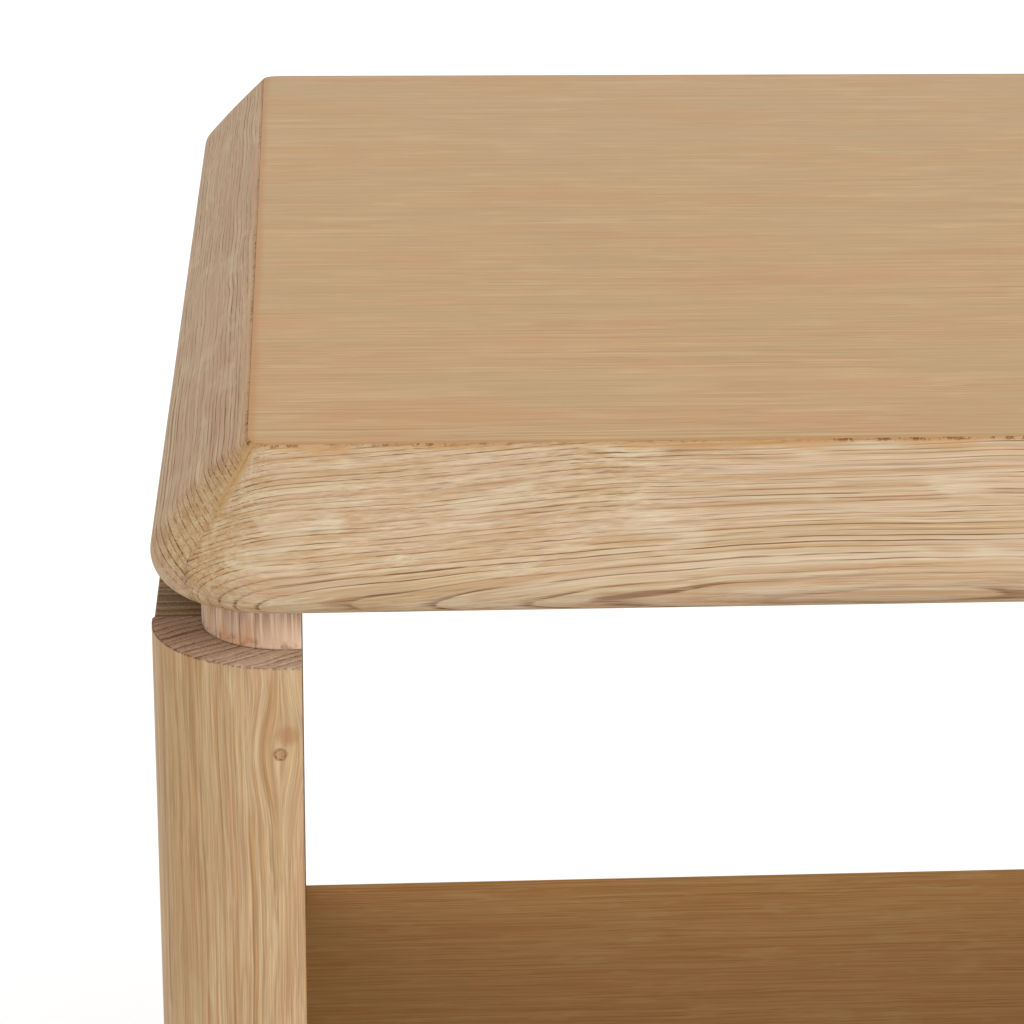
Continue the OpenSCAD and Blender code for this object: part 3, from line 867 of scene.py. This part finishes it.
def neck_stains_and_painted_light(tree, axis, colour, dark):
    """The neck is painted paler and pinker than the post: painted light for the light that
    reaches it from low in front.

    The ledge's end grain is greyish and is painted darker on its outer side, as painted
    shade under the overhang of the top, and oil has left a ragged brown line at the foot of
    the neck.
    """
    ledge = tree.step(axis[2], LEDGE - 0.3, LEDGE - 0.1)
    colour = tree.mix(ledge * 0.38, colour, srgb(182, 160, 150, (0.72, 0.76, 0.86)))
    # painted shade: the ledge grows darker towards its outer side, under the top's overhang
    outer_ledge_shade = ledge * tree.step(axis[0].math("ABSOLUTE"), 226.0, 246.0) * 0.42
    above = tree.step(axis[2], LEDGE + 0.1, LEDGE + 0.4)
    rust = tree.noise(axis[0] * 0.10, axis[1] * 0.10, axis[2] * 0.05, 2.0)
    # painted light: the neck is mixed towards a pale colour
    colour = tree.mix(above * 0.75, colour, srgb(238, 200, 168, (0.93, 0.96, 0.98)))
    colour = tree.mix(above * tree.step(rust, 0.5, 0.66) * 0.5, colour,
                      srgb(214, 150, 96, (0.9, 0.84, 0.74)))
    foot = above * tree.step(axis[2], LEDGE + 3.0, LEDGE + 0.5)
    foot = foot * tree.step(tree.noise(axis[0] * 0.5, axis[1] * 0.5, axis[2] * 0.4, 3.0, 0.7),
                            0.42, 0.62)
    return colour, (dark + foot * 0.55 + outer_ledge_shade * (1 - above)).math("MINIMUM", 1.0)


def shaded_round_corner(tree, axis, colour, dark):
    """The round outer corner of a leg is painted a little darker and yellower, as painted shade
    where it turns to the side, away from the front light.
    """
    outer = tree.step(axis[0].math("ABSOLUTE"), 232.0, 250.0)
    # painted shade on the round outer corner
    corner_shade_colour = tree.mix(1.0, colour, (0.94, 0.88, 0.70, 1.0), "MULTIPLY")
    return tree.mix(outer, colour, corner_shade_colour), dark


print("the knot is", round(LEDGE - KNOT[0], 1), "mm below the ledge")

# %% [markdown]
# Each leg comes from its own place in the log. The heart lies beyond the side of the
# table, level with its middle, so the rings cross the ledge at a slant, in arcs that are
# nearly straight. A row of this table gives a leg's heart, the width of its rings, its
# seed, its marks and its knot.

# %% The four legs
legs = {
    "leg_front_left": ((-434, 26), 2.5, 6, (shaded_round_corner, pin_knot, neck_stains_and_painted_light), KNOT),
    "leg_front_right": ((434, 26), 2.6, 7, (shaded_round_corner, neck_stains_and_painted_light), None),
    "leg_back_left": ((-434, -26), 2.4, 8, (shaded_round_corner, neck_stains_and_painted_light), None),
    "leg_back_right": ((434, -26), 2.5, 9, (shaded_round_corner, neck_stains_and_painted_light), None),
}
for node, (heart, ring, seed, marks, knot) in legs.items():
    # The legs' end grain is set brighter: painted light on the ledges, which the soft box lights
    # through the gap under the top.
    wood = oak("oak " + node.replace("_", " "), "z", heart, ring, seed, LEG_TONE, 0.5,
               fuzz=1.2, marks=marks, knot=knot, wear=1.6, end_tone_and_light=-0.45, end_lines=1.5)
    make_piece("oak_" + node, leg_grid(node), wood, "carcass", node)

# %% [markdown]
# A side is one wide upright board. Its top carries the same ledge as the legs, and a
# tongue goes on up to the top beside it, so that the shadow line runs all round. Seen
# from the front it is an L, and the L is swept from front to back.

# %% The sides
TONGUE_SLACK = 0.3 * MM
SIDE_FILLET = 0.3 * MM
SIDE_ARRIS = 0.2 * MM
for node, seed in (("side_panel_left", 10), ("side_panel_right", 11)):
    low, high = corners(node)
    sign = np.sign(low[0])
    inner, outer = sorted((low[0], high[0]), key=abs)
    tongue = sign * (outline_half - NECK_INSET + TONGUE_SLACK)
    section = [(outer, low[2]), (outer, LEDGE_Z), (tongue, LEDGE_Z), (tongue, high[2]),
               (inner, high[2]), (inner, low[2])]
    section = section if sign > 0 else section[::-1]
    grid = slab(section, SIDE_FILLET, -high[1], -low[1], SIDE_ARRIS)
    # The sides are painted in the shaded side tone, which is painted shade. Their end grain is
    # darker, partly its own tone and partly painted shade in the gap under the top.
    wood = oak("oak " + node.replace("_", " "), "z", (234 * sign, 900), 3.9, seed,
               SHADED_SIDE_TONE, 0.55, fuzz=1.0, end_tone_and_light=0.15, end_lines=1.4)
    make_piece("oak_" + node, facing_front(grid), wood, "carcass", node)

# %% [markdown]
# The shelf and the case bottom are veneered boards, notched round the legs, with solid
# lippings in front. The shelf is left dead matt, so that it shows no sky at a low angle.
# The rest of the case is plain boards, which differ only in their wood: each row gives
# the way of the grain, the heart, the rings, tone, lines, gloss and arris.

# %% The shelf and the case
SHELF_TONE = (0.70, 0.56, 0.36)
CASE_TONE = (0.60, 0.55, 0.48)
SPACER_TONE = (0.75, 0.72, 0.60)
LEAF_ARRIS = 0.1 * MM
EDGE_ARRIS = 0.6 * MM


def notched(node):
    """Corners of a board that is notched round the four legs."""
    low, high = corners(node)
    x, y = np.abs(leg_high[:2])
    return [(x, low[1]), (x, -y), (high[0], -y), (high[0], y), (x, y), (x, high[1]),
            (-x, high[1]), (-x, y), (low[0], y), (low[0], -y), (-x, -y), (-x, low[1])]


for node, seed, tone in (("shelf_panel", 12, SHELF_TONE), ("case_bottom", 13, CASE_TONE)):
    low, high = corners(node)
    wood = oak("oak " + node.replace("_", " "), "x", (1300, 60), 1.6, seed, tone, 0.30,
               contrast=0.8, wear=0, gloss=0.0)
    make_piece("oak_" + node, slab(notched(node), LEAF_ARRIS, low[2], high[2], LEAF_ARRIS),
               wood, "carcass", node)

boards = {
    "shelf_front_edge": ("x", (-210, -40), 2.0, CASE_TONE, 0.7, 0.22, EDGE_ARRIS),
    "shelf_back_edge": ("x", (1300, 60), 1.6, SHELF_TONE, 0.3, 0.0, LEAF_ARRIS),
    "case_bottom_edge": ("x", (-210, -190), 2.0, CASE_TONE, 0.7, 0.22, EDGE_ARRIS),
    "case_back": ("x", (40, 900), 1.6, CASE_TONE, 0.4, 0.22, EDGE_ARRIS),
    "runner_spacer_left": ("y", (300, 300), 3.0, SPACER_TONE, 0.15, 0.22, EDGE_ARRIS),
    "runner_spacer_right": ("y", (300, 300), 3.0, SPACER_TONE, 0.15, 0.22, EDGE_ARRIS),
}
for seed, (node, row) in enumerate(boards.items(), 14):
    along, heart, ring, tone, lines, gloss, arris = row
    wood = oak("wood " + node.replace("_", " "), along, heart, ring, seed, tone, lines,
               gloss=gloss)
    make_piece("wood_" + node, board(*corners(node), arris), wood, "carcass", node)

# %% [markdown]
# The drawer is a box of thin pale oak behind a thick front. Instead of a handle, the
# front has a scoop for the fingers in its top edge, and the box front behind it has the
# same one. Both are slabs whose outline dips at the scoop, stood up to face the front.

# %% The drawer
FRONT_OAK = (0.60, 0.60, 0.58)
BOX_OAK = (0.72, 0.70, 0.66)
PLYWOOD = (0.80, 0.76, 0.68)
FRONT_ARRIS = 1.2 * MM
BOX_ARRIS = 1.0 * MM
PLY_ARRIS = 0.3 * MM
SCOOP_HALF = 55 * MM
SCOOP_DEPTH = 20 * MM
SCOOP_FILLET = 18 * MM
scoop_z = corners("drawer_front")[1][2] - SCOOP_DEPTH


def scooped(node, arris):
    """A front board with the finger scoop, its arrises rounded.

    The scoop's fillets leave room for the rounded arris above them, also where it is
    shrunk furthest.
    """
    low, high = corners(node)
    x = SCOOP_HALF
    points = [(high[0], low[2]), (high[0], high[2]), (x, high[2]), (x, scoop_z),
              (-x, scoop_z), (-x, high[2]), (low[0], high[2]), (low[0], low[2])]
    radii = np.full(len(points), arris)
    radii[[3, 4]] = min(SCOOP_FILLET, high[2] - scoop_z - 2.2 * arris - 2 * SUPPORT)
    return facing_front(slab(points, radii, -high[1], -low[1], arris, steps=10))


make_piece("oak_drawer_front", scooped("drawer_front", FRONT_ARRIS),
           oak("oak drawer front", "x", (-150, 60), 2.2, 21, FRONT_OAK, 0.8, 5.0),
           "drawer", "drawer_front")
make_piece("oak_drawer_box_front", scooped("drawer_box_front", BOX_ARRIS),
           oak("oak drawer box front", "x", (-90, 400), 2.0, 22, BOX_OAK, 0.5),
           "drawer", "drawer_box_front")
for node, along, seed in (("drawer_side_left", "y", 23), ("drawer_side_right", "y", 24),
                          ("drawer_back", "x", 25)):
    wood = oak("oak " + node.replace("_", " "), along, (-300, 300), 2.0, seed, BOX_OAK, 0.5)
    make_piece("oak_" + node, board(*corners(node), BOX_ARRIS), wood, "drawer", node)
plywood = oak("plywood drawer bottom", "y", (900, 40), 1.8, 26, PLYWOOD, 0.12,
              contrast=0.6, wear=0)
make_piece("ply_drawer_bottom", board(*corners("drawer_bottom"), PLY_ARRIS), plywood,
           "drawer", "drawer_bottom")

# %% [markdown]
# The hardware keeps the frame's own shapes. The slides are zinc plated steel, drawn out
# of strip, so they are streaked along their length and cloudy with zinc. The screws are
# plated the same way. The glides under the feet are off-white nylon, scuffed by floors.

# %% Finishes for the hardware
def metal(name, base, rough, drawn):
    """Plated steel with streaks along the axis it was drawn and clouds in the plating."""
    tree = Tree(name)
    axis, _ = tree.place()
    scale = [1.6, 1.6, 1.6]
    scale[drawn] = 0.02
    streak = tree.noise(*[value * k for value, k in zip(axis, scale)], 3.0, 0.6)
    cloud = tree.noise(*[value * 0.06 for value in axis], 3.0)
    spot = tree.cells(*[value * 0.35 for value in axis])
    light = 0.72 + 0.35 * cloud + (streak - 0.5) * 0.35 + 0.1 * spot
    colour = tree.mix(1.0, base, tree.grey(light), "MULTIPLY")
    colour = tree.mix(tree.step(cloud, 0.55, 0.75) * 0.25, colour, (0.55, 0.50, 0.38, 1))
    tree.put(tree.shader.inputs["Metallic"], 1.0)
    return tree.finish(colour, rough + 0.25 * (cloud - 0.5) + 0.2 * (streak - 0.5),
                       streak + spot * 0.3, 0.02 * MM, 0.3)


def nylon(name):
    """Off-white nylon with a moulded skin and scuffs."""
    tree = Tree(name)
    axis, _ = tree.place()
    skin = tree.noise(*[value * 2.5 for value in axis], 3.0)
    scuff = tree.noise(axis[0] * 0.9, axis[1] * 0.12, axis[2] * 0.9, 3.0, 0.7)
    dirt = tree.step(scuff, 0.52, 0.70)
    colour = tree.mix(dirt * 0.5, (0.62, 0.58, 0.50, 1), (0.30, 0.26, 0.21, 1))
    return tree.finish(colour, 0.45 + 0.3 * dirt + 0.1 * (skin - 0.5), skin, 0.03 * MM, 0.4)


BEECH = (0.72, 0.60, 0.52)
finishes = {
    "zinc_steel": metal("zinc slides", (0.62, 0.64, 0.66, 1), 0.34, 1),
    "screw_steel": metal("plated screws", (0.60, 0.60, 0.58, 1), 0.30, 0),
    "glide_nylon": nylon("nylon glides"),
    "dowel_beech": oak("beech dowels", "z", (900, 400), 1.4, 30, BEECH, 0.1, wear=0),
}
finished = [node for node, slot in SLOTS.items() if slot in finishes]
for node in finished:
    frame["nodes"][node].material_slots[0].material = finishes[SLOTS[node]]
print(len(finished), "nodes of the frame keep their shape and get", len(finishes), "finishes")

# %% [markdown]
# The room is a white floor and a white sky of light, with one large soft box before the
# table on the right. It lights the sloping faces of the rim a little more than the top.

# %% Stage and light
SKY_STRENGTH = 1.15
KEY_PLACE = (1.1, -2.0, 2.3)
KEY_AIM = (0, 0, 0.4)
KEY_SIZE = 1.6
KEY_POWER = 45
FLOOR_HALF = 20
floor = bpy.data.objects.new("floor", bpy.data.meshes.new("floor"))
square = np.array([(-1, -1, 0), (1, -1, 0), (1, 1, 0), (-1, 1, 0)]) * FLOOR_HALF
floor.data.from_pydata(square.tolist(), [], [(0, 1, 2, 3)])
bpy.context.scene.collection.objects.link(floor)
paint = Tree("studio floor")
floor.data.materials.append(paint.finish((0.93, 0.93, 0.93, 1), 0.9))
floor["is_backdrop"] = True

world = bpy.data.worlds.new("studio")
world.use_nodes = True
sky = world.node_tree.nodes["Background"].inputs
sky["Color"].default_value = (1, 1, 1, 1)
sky["Strength"].default_value = SKY_STRENGTH
bpy.context.scene.world = world
bpy.context.scene.view_settings.view_transform = "Standard"


def soft_light(name, place, aim, size, power):
    """A square soft box that faces a point."""
    lamp = bpy.data.lights.new(name, "AREA")
    lamp.size = size
    lamp.energy = power
    box = bpy.data.objects.new(name, lamp)
    bpy.context.scene.collection.objects.link(box)
    box.location = place
    box.rotation_euler = (Vector(aim) - Vector(place)).to_track_quat("-Z", "Y").to_euler()


soft_light("key light", KEY_PLACE, KEY_AIM, KEY_SIZE, KEY_POWER)
print("a soft box of", KEY_POWER, "watts and a sky of strength", SKY_STRENGTH)

# %% [markdown]
# The camera stands close before the left front corner, a little above the top, and
# looks down at it, so that the corner fills the view. It is turned first about its own
# line of sight, then tilted down, and last swung to the side.

# %% Camera
EYE = (-0.21647, -0.83205, 0.73429)
YAW = radians(4.298)
PITCH = radians(18.289)
ROLL = radians(0.565)
LENS = 103.3
FILM = 36
camera = bpy.data.objects.new("camera", bpy.data.cameras.new("camera"))
bpy.context.scene.collection.objects.link(camera)
camera.data.lens = LENS
camera.data.sensor_width = FILM
camera.matrix_world = (Matrix.Translation(EYE) @ Matrix.Rotation(-YAW, 4, "Z")
                       @ Matrix.Rotation(radians(90) - PITCH, 4, "X")
                       @ Matrix.Rotation(ROLL, 4, "Z"))
bpy.context.scene.camera = camera
away = Vector(EYE) - Vector((0, 0, top_z))
print("the camera is", round(away.length, 2), "m from the middle of the top")

# %% [markdown]
# Blender may finish the table but not change its size. The last line measures the box
# round the finished model.

# %% Size of the finished model
low, high = [list(corner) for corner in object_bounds()]
